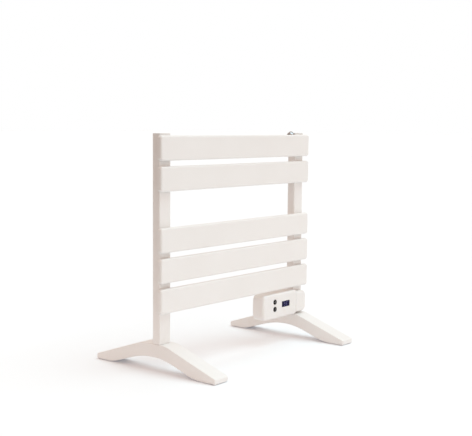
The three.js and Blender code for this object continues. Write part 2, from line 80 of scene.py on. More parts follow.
class Shader:
    """A node material with one principled shader, and short calls for the nodes that colour it."""

    def __init__(self, name, color, roughness, metallic=0.0):
        self.material = bpy.data.materials.new(name)
        self.material.use_nodes = True
        self.nodes = self.material.node_tree.nodes
        self.links = self.material.node_tree.links
        self.shader = self.nodes["Principled BSDF"]
        self.shader.inputs["Base Color"].default_value = (*color, 1.0)
        self.shader.inputs["Roughness"].default_value = roughness
        self.shader.inputs["Metallic"].default_value = metallic
        self.color = color
        self.roughness = roughness
        self.place = self.nodes.new("ShaderNodeTexCoord").outputs["Object"]
        self.material.diffuse_color = (*color, 1.0)

    def stretched(self, scale):
        """Object coordinates scaled by a different factor along each axis."""
        node = self.nodes.new("ShaderNodeMapping")
        node.inputs["Scale"].default_value = scale
        self.links.new(self.place, node.inputs["Vector"])
        return node.outputs["Vector"]

    def noise(self, scale, detail=3.0, roughness=0.5, vector=None):
        node = self.nodes.new("ShaderNodeTexNoise")
        node.inputs["Scale"].default_value = scale
        node.inputs["Detail"].default_value = detail
        node.inputs["Roughness"].default_value = roughness
        self.links.new(vector or self.place, node.inputs["Vector"])
        return node.outputs["Fac"]

    def cells(self, scale):
        node = self.nodes.new("ShaderNodeTexVoronoi")
        node.inputs["Scale"].default_value = scale
        self.links.new(self.place, node.inputs["Vector"])
        return node.outputs["Distance"]

    def ramp(self, value, low, high):
        """The value mapped from the middle of its range to low..high."""
        node = self.nodes.new("ShaderNodeMapRange")
        node.inputs["From Min"].default_value = 0.3
        node.inputs["From Max"].default_value = 0.7
        node.inputs["To Min"].default_value = low
        node.inputs["To Max"].default_value = high
        self.links.new(value, node.inputs["Value"])
        return node.outputs["Result"]

    def vary_color(self, value, spread, warmth=0.0):
        """Mixes the colour between a darker and a lighter tint of itself."""
        mix = self.nodes.new("ShaderNodeMix")
        mix.data_type = "RGBA"
        tint = (1 + warmth, 1.0, 1 - warmth)
        dark = [min(1.0, c * (1 - spread) * t) for c, t in zip(self.color, tint)]
        light = [min(1.0, c * (1 + spread)) for c in self.color]
        mix.inputs["A"].default_value = (*dark, 1.0)
        mix.inputs["B"].default_value = (*light, 1.0)
        self.links.new(self.ramp(value, 0.0, 1.0), mix.inputs["Factor"])
        self.links.new(mix.outputs["Result"], self.shader.inputs["Base Color"])
        return self

    def vary_roughness(self, value, spread):
        low, high = self.roughness - spread, self.roughness + spread
        self.links.new(self.ramp(value, low, high), self.shader.inputs["Roughness"])
        return self

    def bump(self, value, height, strength=1.0):
        """Adds relief of that height in metres on top of any relief made before."""
        node = self.nodes.new("ShaderNodeBump")
        node.inputs["Distance"].default_value = height
        node.inputs["Strength"].default_value = strength
        self.links.new(value, node.inputs["Height"])
        normal = self.shader.inputs["Normal"]
        if normal.is_linked:
            self.links.new(normal.links[0].from_socket, node.inputs["Normal"])
        self.links.new(node.outputs["Normal"], normal)
        return self


def powder_coat():
    """Satin powder coat: a soft orange-peel ripple, fine grain and a faint drift in tone."""
    coat = Shader("powder_coat_white", (0.82, 0.797, 0.775), 0.42)
    coat.vary_color(coat.noise(9.0, 4.0), 0.014, 0.004)
    coat.vary_roughness(coat.noise(60.0, 4.0), 0.05)
    coat.bump(coat.noise(420.0, 2.0), 0.00006, 0.5)
    coat.bump(coat.noise(2600.0, 2.0), 0.00002, 0.4)
    coat.shader.inputs["Coat Weight"].default_value = 0.12
    coat.shader.inputs["Coat Roughness"].default_value = 0.3
    return coat.material


def moulded_white():
    """White moulding with the fine spark-eroded grain of its tool."""
    plastic = Shader("moulded_plastic_white", (0.82, 0.80, 0.78), 0.38)
    plastic.vary_color(plastic.noise(14.0, 3.0), 0.01, 0.003)
    plastic.vary_roughness(plastic.noise(110.0, 3.0), 0.05)
    plastic.bump(plastic.cells(1900.0), 0.00004, 0.35)
    plastic.shader.inputs["Subsurface Weight"].default_value = 0.04
    plastic.shader.inputs["Subsurface Radius"].default_value = (0.004, 0.003, 0.002)
    return plastic.material


def button_plastic():
    plastic = Shader("button_plastic_black", (0.007, 0.006, 0.006), 0.32)
    plastic.vary_color(plastic.noise(300.0, 3.0), 0.25)
    plastic.vary_roughness(plastic.noise(500.0, 3.0), 0.08)
    plastic.bump(plastic.noise(3000.0, 2.0), 0.00002, 0.4)
    plastic.shader.inputs["Specular IOR Level"].default_value = 0.1
    return plastic.material


def legend_ink():
    ink = Shader("legend_ink", (0.27, 0.26, 0.25), 0.5)
    ink.vary_color(ink.noise(1800.0, 3.0), 0.08)
    ink.vary_roughness(ink.noise(2500.0, 2.0), 0.08)
    return ink.material


def display_glass():
    glass = Shader("display_glass_navy", (0.005, 0.002, 0.035), 0.1)
    glass.vary_color(glass.noise(120.0, 3.0), 0.2)
    glass.vary_roughness(glass.noise(80.0, 4.0), 0.04)
    glass.shader.inputs["Specular IOR Level"].default_value = 0.08
    glass.shader.inputs["Coat Weight"].default_value = 0.06
    glass.shader.inputs["Coat Roughness"].default_value = 0.04
    return glass.material


def lit_segment():
    lit = Shader("lit_segment", (0.07, 0.07, 0.24), 0.4)
    lit.vary_color(lit.noise(1500.0, 2.0), 0.15)
    lit.shader.inputs["Emission Color"].default_value = (0.42, 0.42, 0.95, 1.0)
    lit.shader.inputs["Emission Strength"].default_value = 0.06
    return lit.material


def black_moulding():
    plastic = Shader("moulded_plastic_black", (0.02, 0.02, 0.021), 0.5)
    plastic.vary_color(plastic.noise(200.0, 3.0), 0.2)
    plastic.vary_roughness(plastic.noise(260.0, 3.0), 0.08)
    plastic.bump(plastic.cells(1500.0), 0.00004, 0.4)
    return plastic.material


def black_rubber():
    rubber = Shader("rubber_black", (0.028, 0.027, 0.027), 0.82)
    rubber.vary_color(rubber.noise(90.0, 5.0), 0.25)
    rubber.vary_roughness(rubber.noise(150.0, 4.0), 0.1)
    rubber.bump(rubber.noise(1200.0, 4.0), 0.00012, 0.5)
    return rubber.material


def grey_rubber():
    rubber = Shader("rubber_grey", (0.45, 0.44, 0.43), 0.78)
    rubber.vary_color(rubber.noise(90.0, 5.0), 0.12)
    rubber.vary_roughness(rubber.noise(150.0, 4.0), 0.1)
    rubber.bump(rubber.noise(1200.0, 4.0), 0.00012, 0.5)
    return rubber.material


def plated_chrome():
    chrome = Shader("chrome_plating", (0.47, 0.47, 0.48), 0.36, 1.0)
    chrome.vary_color(chrome.noise(70.0, 3.0), 0.04)
    chrome.vary_roughness(chrome.noise(240.0, 5.0, 0.65), 0.06)
    chrome.bump(chrome.noise(3200.0, 2.0), 0.00001, 0.3)
    return chrome.material


def turned_steel(name, color, roughness):
    """Turned or drawn metal, its marks drawn out along X."""
    steel = Shader(name, color, roughness, 1.0)
    marks = steel.noise(1.0, 4.0, 0.6, steel.stretched((180.0, 2600.0, 2600.0)))
    steel.vary_color(steel.noise(160.0, 4.0), 0.1)
    steel.vary_roughness(marks, 0.08)
    steel.bump(marks, 0.00003, 0.4)
    return steel.material


def circuit_board():
    board = Shader("solder_mask_green", (0.014, 0.11, 0.04), 0.35)
    board.vary_color(board.cells(160.0), 0.3)
    board.vary_roughness(board.noise(300.0, 3.0), 0.08)
    board.bump(board.cells(420.0), 0.00006, 0.4)
    return board.material


def coloured(name, color, roughness=0.5):
    """Small mouldings and lead insulation."""
    piece = Shader(name, color, roughness)
    piece.vary_color(piece.noise(250.0, 3.0), 0.15)
    piece.vary_roughness(piece.noise(400.0, 3.0), 0.07)
    piece.bump(piece.noise(1600.0, 3.0), 0.00004, 0.4)
    return piece.material


MATERIALS = {
    "paint_white": powder_coat(),
    "plastic_white": moulded_white(),
    "button_black": button_plastic(),
    "display_glass": display_glass(),
    "plastic_black": black_moulding(),
    "rubber_black": black_rubber(),
    "rubber_grey": grey_rubber(),
    "chrome": plated_chrome(),
    "valve_dark": turned_steel("turned_steel_dark", (0.10, 0.10, 0.105), 0.38),
    "zinc_steel": turned_steel("zinc_steel", (0.45, 0.46, 0.47), 0.34),
    "brass": turned_steel("turned_brass", (0.60, 0.42, 0.18), 0.34),
    "board_green": circuit_board(),
    "component_blue": coloured("component_blue", (0.03, 0.11, 0.32)),
    "lead_brown": coloured("lead_brown", (0.16, 0.06, 0.025), 0.6),
    "lead_blue": coloured("lead_blue", (0.03, 0.07, 0.32), 0.6),
    "lead_green": coloured("lead_green", (0.07, 0.30, 0.06), 0.6),
}
LEGEND = legend_ink()
SEGMENT = lit_segment()


# ---------------------------------------------------------------- mesh tools


def arc(cx, cy, radius, start, stop, steps):
    """Points on an arc, in degrees."""
    span = math.radians(stop - start) / steps
    first = math.radians(start)
    return [
        (cx + radius * math.cos(first + i * span), cy + radius * math.sin(first + i * span))
        for i in range(steps + 1)
    ]


def rounded_rectangle(low, high, radius, steps=10):
    (x0, y0), (x1, y1) = low, high
    return (
        arc(x1 - radius, y1 - radius, radius, 0, 90, steps)
        + arc(x0 + radius, y1 - radius, radius, 90, 180, steps)
        + arc(x0 + radius, y0 + radius, radius, 180, 270, steps)
        + arc(x1 - radius, y0 + radius, radius, 270, 360, steps)
    )


def quadratic(start, control, stop, steps=10):
    points = []
    for i in range(steps + 1):
        t = i / steps
        weights = ((1 - t) ** 2, 2 * t * (1 - t), t * t)
        points.append(tuple(
            sum(w * p[k] for w, p in zip(weights, (start, control, stop))) for k in (0, 1)))
    return points


def cubic(start, first, second, stop, steps=24):
    points = []
    for i in range(steps + 1):
        t = i / steps
        weights = ((1 - t) ** 3, 3 * t * (1 - t) ** 2, 3 * t * t * (1 - t), t ** 3)
        points.append(tuple(
            sum(w * p[k] for w, p in zip(weights, (start, first, second, stop))) for k in (0, 1)))
    return points


def without_repeats(points, nearest=1e-6):
    kept = []
    for p in points:
        if not kept or math.dist(p, kept[-1]) > nearest:
            kept.append(p)
    if math.dist(kept[0], kept[-1]) <= nearest:
        kept.pop()
    return kept


def lift(u, v, w, axis):
    """A point of an outline in the plane across the axis, at w along it."""
    return {"x": (w, u, v), "y": (u, w, v), "z": (u, v, w)}[axis]


def mesh_object(name, vertices, faces):
    mesh = bpy.data.meshes.new(name)
    mesh.from_pydata([tuple(v) for v in vertices], [], faces)
    mesh.validate()
    piece = bpy.data.objects.new(name, mesh)
    bpy.context.scene.collection.objects.link(piece)
    outward(piece)
    return piece


def outward(piece):
    """Turns every face to point out."""
    bm = bmesh.new()
    bm.from_mesh(piece.data)
    bmesh.ops.recalc_face_normals(bm, faces=bm.faces)
    bm.to_mesh(piece.data)
    bm.free()


def prism(name, outline, axis, low, high):
    points = without_repeats(outline)
    count = len(points)
    vertices = [lift(u, v, w, axis) for w in (low, high) for u, v in points]
    sides = [(i, (i + 1) % count, count + (i + 1) % count, count + i) for i in range(count)]
    faces = [tuple(range(count)), tuple(range(count, 2 * count))] + sides
    return mesh_object(name, vertices, faces)


def tube(name, outer, inner, axis, low, high):
    """A prism with a hole right through. Both outlines have the same number of points."""
    rings = [without_repeats(outer), without_repeats(inner)]
    count = len(rings[0])
    vertices = [lift(u, v, w, axis) for w in (low, high) for ring in rings for u, v in ring]
    faces = []
    for i in range(count):
        j = (i + 1) % count
        a, b, c, d = 0, count, 2 * count, 3 * count
        faces += [(a + i, a + j, b + j, b + i), (c + i, c + j, d + j, d + i)]
        faces += [(a + i, a + j, c + j, c + i), (b + i, b + j, d + j, d + i)]
    return mesh_object(name, vertices, faces)


def lathe(name, profile, place, axis, steps=48):
    """A turned piece about an axis vector through place. The profile is (radius, height) pairs."""
    turn = Vector(axis).normalized().to_track_quat("Z", "Y").to_matrix().to_4x4()
    move = Matrix.Translation(Vector(place)) @ turn
    vertices, faces, rows = [], [], []
    for radius, height in profile:
        if radius < 1e-9:
            rows.append([len(vertices)])
            vertices.append(move @ Vector((0, 0, height)))
            continue
        rows.append(list(range(len(vertices), len(vertices) + steps)))
        for i in range(steps):
            angle = 2 * math.pi * i / steps
            vertices.append(move @ Vector((radius * math.cos(angle), radius * math.sin(angle), height)))
    closed = profile[0][0] > 1e-9
    pairs = list(zip(rows, rows[1:] + rows[:1])) if closed else list(zip(rows, rows[1:]))
    for lower, upper in pairs:
        for i in range(steps):
            j = (i + 1) % steps
            if len(lower) == 1:
                faces.append((lower[0], upper[j], upper[i]))
            elif len(upper) == 1:
                faces.append((lower[i], lower[j], upper[0]))
            else:
                faces.append((lower[i], lower[j], upper[j], upper[i]))
    return mesh_object(name, vertices, faces)


def dome(inner, reach, base, top, degrees):
    """A rounded shoulder for a lathe profile, from its side at base to its end at top."""
    angles = [math.radians(a) for a in degrees]
    return [(inner + reach * math.cos(a), base + (top - base) * math.sin(a)) for a in angles]


def bevel(piece, width, segments=5, angle=35.0):
    modifier = piece.modifiers.new("edges", "BEVEL")
    modifier.width = width
    modifier.segments = segments
    modifier.limit_method = "ANGLE"
    modifier.angle_limit = math.radians(angle)
    modifier.use_clamp_overlap = True
    return apply_modifiers(piece)


def apply_modifiers(piece):
    graph = bpy.context.evaluated_depsgraph_get()
    graph.update()
    mesh = bpy.data.meshes.new_from_object(piece.evaluated_get(graph))
    piece.modifiers.clear()
    old = piece.data
    piece.data = mesh
    bpy.data.meshes.remove(old)
    mesh.name = piece.name
    return piece


def cut(piece, *cutters):
    """Cuts the cutters out of the piece and removes them."""
    for cutter in cutters:
        modifier = piece.modifiers.new("cut", "BOOLEAN")
        modifier.operation = "DIFFERENCE"
        modifier.solver = "EXACT"
        modifier.object = cutter
        apply_modifiers(piece)
        bpy.data.objects.remove(cutter)
    return piece


def cylinder(place, axis, radius, length, steps=40):
    """A cutter that starts at place and runs along the axis."""
    profile = [(0.0, 0.0), (radius, 0.0), (radius, length), (0.0, length)]
    return lathe("cutter", profile, place, axis, steps)


def block(low, high):
    corners = rounded_rectangle((low[0], low[1]), (high[0], high[1]), 1e-5, 1)
    return prism("cutter", corners, "z", low[2], high[2])


def finish_piece(piece, slot, *nodes, body=BODY, material=None, sharp=38.0):
    """Smooth shading with crisp corners, the slot's material, and the CAD nodes that it stands for."""
    mesh = piece.data
    for polygon in mesh.polygons:
        polygon.use_smooth = True
    mesh.set_sharp_from_angle(angle=math.radians(sharp))
    weights = piece.modifiers.new("normals", "WEIGHTED_NORMAL")
    weights.keep_sharp = True
    mesh.materials.clear()
    mesh.materials.append(material or MATERIALS[slot])
    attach(piece, body)
    if nodes:
        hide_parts(*nodes)
    return piece


def join(name, pieces):
    """Several meshes as one piece."""
    bm = bmesh.new()
    for piece in pieces:
        bm.from_mesh(piece.data)
        bpy.data.objects.remove(piece)
    mesh = bpy.data.meshes.new(name)
    bm.to_mesh(mesh)
    bm.free()
    joined = bpy.data.objects.new(name, mesh)
    bpy.context.scene.collection.objects.link(joined)
    return joined


# ---------------------------------------------------------------- camera, floor and light


def make_camera():
    bearing, tilt, roll = (math.radians(a) for a in (CAMERA_BEARING, CAMERA_TILT, CAMERA_ROLL))
    ahead = Vector((
        -math.sin(bearing) * math.cos(tilt),
        math.cos(bearing) * math.cos(tilt),
        -math.sin(tilt),
    ))
    level = Vector((math.cos(bearing), math.sin(bearing), 0))
    upright = level.cross(ahead)
    across = math.cos(roll) * level + math.sin(roll) * upright
    up = math.cos(roll) * upright - math.sin(roll) * level
    turn = Matrix((across, up, -ahead)).transposed().to_4x4()
    data = bpy.data.cameras.new("camera")
    data.lens = CAMERA_LENS
    data.sensor_width = SENSOR
    data.sensor_fit = "HORIZONTAL"
    camera = bpy.data.objects.new("camera", data)
    camera.matrix_world = Matrix.Translation(CAMERA_PLACE) @ turn
    bpy.context.scene.collection.objects.link(camera)
    bpy.context.scene.camera = camera


def make_floor():
    """Pale paper that glows a little, to keep its shadows light, and ends a short way to the left."""
    size = 60.0
    corners = [(FLOOR_LEFT, -size, 0), (size, -size, 0), (size, size, 0), (FLOOR_LEFT, size, 0)]
    floor = mesh_object("floor", corners, [(0, 1, 2, 3)])
    paper = Shader("studio_paper", (0.84, 0.835, 0.83), 0.9)
    paper.vary_roughness(paper.noise(3.0, 2.0), 0.03)
    paper.shader.inputs["Specular IOR Level"].default_value = 0.1
    paper.shader.inputs["Emission Color"].default_value = (*FLOOR_GLOW, 1.0)
    paper.shader.inputs["Emission Strength"].default_value = 1.0
    floor.data.materials.append(paper.material)


def make_sun(name, towards, strength, spread, color=(1.0, 1.0, 1.0)):
    """A broad soft light from the direction of towards."""
    data = bpy.data.lights.new(name, "SUN")
    data.energy = strength
    data.angle = math.radians(spread)
    data.color = color
    lamp = bpy.data.objects.new(name, data)
    lamp.rotation_euler = Vector(towards).to_track_quat("Z", "Y").to_euler()
    bpy.context.scene.collection.objects.link(lamp)


def make_world():
    """A studio that the camera sees as plain white, with soft light from above the horizon."""
    world = bpy.data.worlds.new("studio")
    world.use_nodes = True
    bpy.context.scene.world = world
    nodes, links = world.node_tree.nodes, world.node_tree.links
    seen = nodes.new("ShaderNodeBackground")
    seen.inputs["Strength"].default_value = 1.0
    seen.inputs["Color"].default_value = (1.0, 1.0, 1.0, 1.0)
    fill = nodes["Background"]
    color, strength = WORLD_FILL
    fill.inputs["Color"].default_value = (*color, 1.0)
    split = nodes.new("ShaderNodeSeparateXYZ")
    above = nodes.new("ShaderNodeMapRange")
    above.inputs["From Min"].default_value = -0.02
    above.inputs["From Max"].default_value = 0.02
    above.inputs["To Max"].default_value = strength
    links.new(nodes.new("ShaderNodeTexCoord").outputs["Generated"], split.inputs["Vector"])
    links.new(split.outputs["Z"], above.inputs["Value"])
    links.new(above.outputs["Result"], fill.inputs["Strength"])
    mix = nodes.new("ShaderNodeMixShader")
    rays = nodes.new("ShaderNodeLightPath")
    links.new(rays.outputs["Is Camera Ray"], mix.inputs["Fac"])
    links.new(fill.outputs["Background"], mix.inputs[1])
    links.new(seen.outputs["Background"], mix.inputs[2])
    links.new(mix.outputs["Shader"], nodes["World Output"].inputs["Surface"])


def make_studio():
    make_camera()
    make_floor()
    make_world()
    for name, (towards, strength, spread, color) in SUNS.items():
        make_sun(name, towards, strength, spread, color)
    bpy.context.scene.view_settings.view_transform = "Standard"


# ---------------------------------------------------------------- panels, posts and feet

PANEL_CORNER = 6 * MM
PANEL_EDGE = 4.2 * MM
POST_CORNER = 2.5 * MM
POST_WALL = 1.5 * MM
POST_Y = -9.5 * MM


def make_panel(number):
    node = f"panel_{number}"
    low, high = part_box(node)
    outline = rounded_rectangle((low.x, low.z), (high.x, high.z), PANEL_CORNER, 14)
    panel = bevel(prism(f"flat_panel_{number}", outline, "y", low.y, high.y), PANEL_EDGE, 10)
    finish_piece(panel, "paint_white", node)


def make_post(side):
    node = f"post_{side}"
    low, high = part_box(node)
    outer = rounded_rectangle((low.x, low.y), (high.x, high.y), POST_CORNER, 8)
    wall = POST_WALL
    inner = rounded_rectangle(
        (low.x + wall, low.y + wall), (high.x - wall, high.y - wall), POST_CORNER - wall, 8)
    post = bevel(tube(f"post_tube_{side}", outer, inner, "z", low.z, high.z), 0.25 * MM, 2)
    finish_piece(post, "paint_white", node)


def make_post_cap(side):
    node = f"post_cap_{side}"
    low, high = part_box(node)
    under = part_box(f"post_{side}")[1].z + 0.2 * MM
    outline = rounded_rectangle((low.x, low.y), (high.x, high.y), POST_CORNER, 8)
    plate = bevel(prism("plate", outline, "z", under, high.z), 0.45 * MM, 4)
    middle = (low.x + high.x) / 2
    reach = 6.5 * MM
    spigot = rounded_rectangle(
        (middle - reach, low.y + 1.9 * MM), (middle + reach, high.y - 1.9 * MM), MM, 4)
    cap = join(f"post_end_cap_{side}", [plate, prism("spigot", spigot, "z", low.z, under)])
    finish_piece(cap, "paint_white", node)


def make_welds(side):
    """The painted-over weld beads where the post meets each panel, down both sides of the post."""
    low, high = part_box(f"post_{side}")
    beads = []
    for number in range(1, 6):
        bottom, top = (corner.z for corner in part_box(f"panel_{number}"))
        for x in (low.x, high.x):
            beads.append(weld_bead(x, low.y, bottom + 6 * MM, top - 6 * MM))
    finish_piece(join(f"weld_beads_{side}", beads), "paint_white")


def weld_bead(x, y, bottom, top, radius=1.1 * MM, pitch=1.3 * MM):
    """A low bead with the ripple of its weld passes, along Z."""
    rows = int((top - bottom) / pitch) * 4
    around = 10
    vertices, faces = [], []
    for i in range(rows + 1):
        share = i / rows
        z = bottom + share * (top - bottom)
        ends = min(1.0, share * 14, (1 - share) * 14)
        ripple = 1 + 0.10 * math.sin(2 * math.pi * (z - bottom) / pitch)
        size = radius * math.sqrt(max(ends, 0.04)) * ripple
        for k in range(around):
            angle = 2 * math.pi * k / around
            vertices.append((x + size * math.cos(angle), y + size * math.sin(angle), z))
    for i in range(rows):
        for k in range(around):
            a, b = i * around + k, i * around + (k + 1) % around
            faces.append((a, b, b + around, a + around))
    last = rows * around
    faces += [tuple(range(around)), tuple(range(last, last + around))]
    return mesh_object("bead", vertices, faces)


# The foot's side view, from the middle of the post, as in the frame.
FOOT_SHOULDER = {"front": 12 * MM, "back": 30 * MM, "length": 20 * MM, "drop": 3.2 * MM}
FOOT_MIDDLE = 10 * MM  # where the arch is highest
FOOT_APEX = 29.5 * MM
FOOT_TIP = 11.5 * MM
FOOT_EDGE = 2.2 * MM
SOLE_LENGTH = {"front": 38 * MM, "back": 35 * MM}
SCREW_RECESS = {"radius": 4.9 * MM, "top": 44 * MM}
PAD_GAP = 0.3 * MM
PAD_CORNER = 5 * MM


def foot_outline(low, high):
    front, back = low.y - POST_Y, high.y - POST_Y
    sole, platform = low.z, high.z
    near, far = -FOOT_SHOULDER["front"], FOOT_SHOULDER["back"]
    length, lower = FOOT_SHOULDER["length"], platform - FOOT_SHOULDER["drop"]
    tip, middle, apex = FOOT_TIP, FOOT_MIDDLE, FOOT_APEX
    points = [(front, sole)]
    points += quadratic((front, tip - 3 * MM), (front, tip), (front + 4 * MM, tip + 1.5 * MM), 8)
    points += quadratic((near - length, lower), (near - length / 2, platform), (near, platform), 12)
    points += quadratic((far, platform), (far + length / 2, platform), (far + length, lower), 12)
    points += quadratic((back - 4 * MM, tip + 1.5 * MM), (back, tip), (back, tip - 3 * MM), 8)
    points += [(back, sole)]
    back_sole, front_sole = back - SOLE_LENGTH["back"], front + SOLE_LENGTH["front"]
    points += cubic(
        (back_sole, sole), (middle + 98 * MM, sole), (middle + 58 * MM, apex), (middle, apex), 28)
    points += cubic(
        (middle, apex), (middle - 55 * MM, apex), (middle - 90 * MM, sole), (front_sole, sole), 28)
    return [(y + POST_Y, z) for y, z in points]


def make_foot(side):
    node = f"foot_{side}"
    low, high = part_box(node)
    foot = prism(f"arched_foot_{side}", foot_outline(low, high), "x", low.x, high.x)
    bevel(foot, FOOT_EDGE, 6, 50)
    for i in (1, 2):
        bottom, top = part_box(f"foot_screw_{side}_{i}")
        x = (bottom.x + top.x) / 2
        cut(foot, cylinder((x, POST_Y, 0), (0, 0, 1), SCREW_RECESS["radius"], SCREW_RECESS["top"]))
    for end in ("front", "back"):
        pad_low, pad_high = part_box(f"foot_pad_{side}_{end}")
        pocket = rounded_rectangle(
            (pad_low.x - PAD_GAP, pad_low.y - PAD_GAP), (pad_high.x + PAD_GAP, pad_high.y + PAD_GAP),
            PAD_CORNER + PAD_GAP, 10)
        cut(foot, prism("pocket", pocket, "z", -MM, pad_high.z + PAD_GAP))
    finish_piece(foot, "paint_white", node)


def make_pads(side):
    for end in ("front", "back"):
        node = f"foot_pad_{side}_{end}"
        low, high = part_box(node)
        outline = rounded_rectangle((low.x, low.y), (high.x, high.y), PAD_CORNER, 10)
        pad = bevel(prism(f"rubber_pad_{side}_{end}", outline, "z", low.z, high.z), 0.6 * MM, 4)
        left, right = low.x + 4 * MM, high.x - 4 * MM
        grooves = []
        for k in range(-3, 4):
            y = (low.y + high.y) / 2 + k * 3 * MM
            grooves.append(block((left, y - 0.5 * MM, low.z - MM), (right, y + 0.5 * MM, low.z + 0.5 * MM)))
        cut(pad, *grooves)
        finish_piece(pad, "rubber_grey", node)


# ---------------------------------------------------------------- control box

BOX_WALL = 2 * MM
BOX_EDGE = 4.5 * MM
BOX_CORNER = 9 * MM
BOX_BULGE = 3 * MM
CAP_CORNER = 12 * MM
CAP_SIDE_GAP = 1.3 * MM  # from the end cap to the inner side of the post
SEAM_EDGE = 1.0 * MM
RIM_LEDGE = 0.8 * MM
RIM_DEPTH = 2.6 * MM


def cover_outline(low, high, inset=0.0):
    """Rounded and a little bulged at the left end, and square at the right end."""
    left, right = low.x + inset, high.x - inset
    bottom, top = low.z + inset, high.z - inset
    corner = BOX_CORNER - inset
    shoulder = left + BOX_BULGE + corner
    points = [(right, bottom), (right, top)]
    points += quadratic((shoulder, top), (left + BOX_BULGE, top), (left + MM, top - corner), 12)
    points += quadratic(
        (left + MM, top - corner), (left - MM, (top + bottom) / 2), (left + MM, bottom + corner), 14)
    points += quadratic((left + MM, bottom + corner), (left + BOX_BULGE, bottom), (shoulder, bottom), 12)
    return points


def cap_outline(low, high, inset=0.0):
    """Square at the left end and rounded at the right end."""
    bottom, top = low.z + inset, high.z - inset
    radius = CAP_CORNER - inset
    x = high.x - inset - radius
    points = [(low.x, top), (low.x, bottom)]
    points += arc(x, bottom + radius, radius, 270, 360, 16)
    return points + arc(x, top - radius, radius, 0, 90, 16)


def case_shell(name, outline, low, high):
    """A case with its front edges rounded and its back square."""
    spare = 2 * BOX_EDGE
    shell = bevel(prism(name, outline, "y", low.y, high.y + spare), BOX_EDGE, 8, 50)
    behind = block(
        (low.x - 2 * spare, high.y, low.z - MM), (high.x + 2 * spare, high.y + 2 * spare, high.z + MM))
    return cut(shell, behind)


def make_front_cover():
    low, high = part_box("control_front_cover")
    spare = Vector((2 * BOX_EDGE, 0, 0))
    cover = case_shell("control_cover", cover_outline(low, high + spare), low, high)
    cut(cover, block((high.x, low.y - MM, low.z - MM), high + 2 * spare + Vector((0, MM, MM))))
    bevel(cover, SEAM_EDGE, 3, 50)
    inside = prism("inside", cover_outline(low, high, BOX_WALL), "y", low.y + BOX_WALL, high.y - RIM_DEPTH)
    rim_outline = cover_outline(low, high, BOX_WALL - RIM_LEDGE)
    rim = prism("rim", rim_outline, "y", high.y - RIM_DEPTH, high.y + MM)
    cut(cover, inside, rim)
    for name in ("button_up", "button_down"):
        x, z, radius = button_place(name)
        cut(cover, cylinder((x, low.y - MM, z), (0, 1, 0), radius + 0.3 * MM, 6 * MM, 56))
        cone = [(0, 0), (radius + 1.5 * MM, 0), (radius + 0.2 * MM, 1.3 * MM), (0, 1.3 * MM)]
        cut(cover, lathe("cutter", cone, (x, low.y - 0.5 * MM, z), (0, 1, 0), 56))
    pane_low, pane_high = pane_box()
    margin = 0.3 * MM
    hole = rounded_rectangle(
        (pane_low.x - margin, pane_low.z - margin), (pane_high.x + margin, pane_high.z + margin), MM, 6)
    cut(cover, prism("hole", hole, "y", low.y - MM, low.y + 5 * MM))
    finish_piece(cover, "plastic_white", "control_front_cover")


def pane_box():
    """The part of the display window that shows, without its flange behind the cover."""
    low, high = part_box("display_window")
    flange = Vector((1.8 * MM, 0, 1.8 * MM))
    return low + flange, high - flange


def make_rear_cover():
    low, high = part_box("control_rear_cover")
    plate = prism("control_back", cover_outline(low, high), "y", low.y, high.y)
    bevel(plate, 0.4 * MM, 3, 50)
    for i in (1, 2, 3, 4):
        screw_low, screw_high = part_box(f"cover_screw_{i}")
        x, z = (screw_low.x + screw_high.x) / 2, (screw_low.z + screw_high.z) / 2
        cut(plate, cylinder((x, low.y - MM, z), (0, 1, 0), 1.5 * MM, 6 * MM, 24))
    gland_low, gland_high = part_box("cord_gland")
    x, z = (gland_low.x + gland_high.x) / 2, (gland_low.z + gland_high.z) / 2
    cut(plate, cylinder((x, low.y - MM, z), (0, 1, 0), 5.3 * MM, 6 * MM))
    slots = []
    for k in range(7):
        x = low.x + (52 + 6 * k) * MM
        vent = rounded_rectangle((x, low.z + 14 * MM), (x + 2.4 * MM, high.z - 14 * MM), 1.19 * MM, 8)
        slots.append(prism("vent", vent, "y", low.y - MM, high.y + MM))
    cut(plate, *slots)
    finish_piece(plate, "plastic_white", "control_rear_cover")


def make_end_cap():
    low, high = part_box("control_end_cap")
    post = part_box("post_right")[0]
    side, back = post.x - CAP_SIDE_GAP, post.y - 0.3 * MM
    spare = Vector((2 * BOX_EDGE, 0, 0))
    cap = case_shell("control_end_cover", cap_outline(low, high), low, high)
    far = high + Vector((MM, MM, MM))
    cut(cap, block((side, back, low.z - MM), far))
    bevel(cap, SEAM_EDGE, 3, 50)
    outline = cap_outline(low - spare, high, BOX_WALL)
    mouth = prism("mouth", outline, "y", low.y + BOX_WALL, back + 0.5 * MM)
    throat = prism("throat", outline, "y", low.y + BOX_WALL, high.y - BOX_WALL)
    cut(throat, block((side - BOX_WALL, low.y, low.z), far))
    cut(cap, mouth, throat)
    finish_piece(cap, "plastic_white", "control_end_cap")


def button_place(name):
    """Centre and radius of a button where it passes through the cover."""
    low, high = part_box(name)
    flange = 1.6 * MM
    return (low.x + high.x) / 2, (low.z + high.z) / 2, (high.x - low.x) / 2 - flange


def make_button(name):
    low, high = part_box(name)
    x, z, radius = button_place(name)
    depth = high.y - low.y
    rim = 0.9 * MM
    dish = [(radius * 0.75, 0.16 * MM), (radius * 0.5, 0.24 * MM), (radius * 0.25, 0.29 * MM)]
    dish.append((0.0, 0.3 * MM))
    edge = dome(radius - rim, rim, rim, 0.0, range(0, 91, 15))
    flange = 3.3 * MM
    profile = [(0.0, depth), (2.2 * MM, depth), (2.2 * MM, flange + 1.4 * MM)]
    profile += [(radius + 1.6 * MM, flange + 1.4 * MM), (radius + 1.6 * MM, flange), (radius, flange)]
    profile += edge + dish
    button = lathe(f"{name}_key", profile, (x, low.y, z), (0, 1, 0), 56)
    finish_piece(button, "button_black", name, body=name, sharp=45)
    legend = {"button_up": power_legend, "button_down": timer_legend}[name](x, low.y, z)
    finish_piece(legend, "button_black", body=name, material=LEGEND)


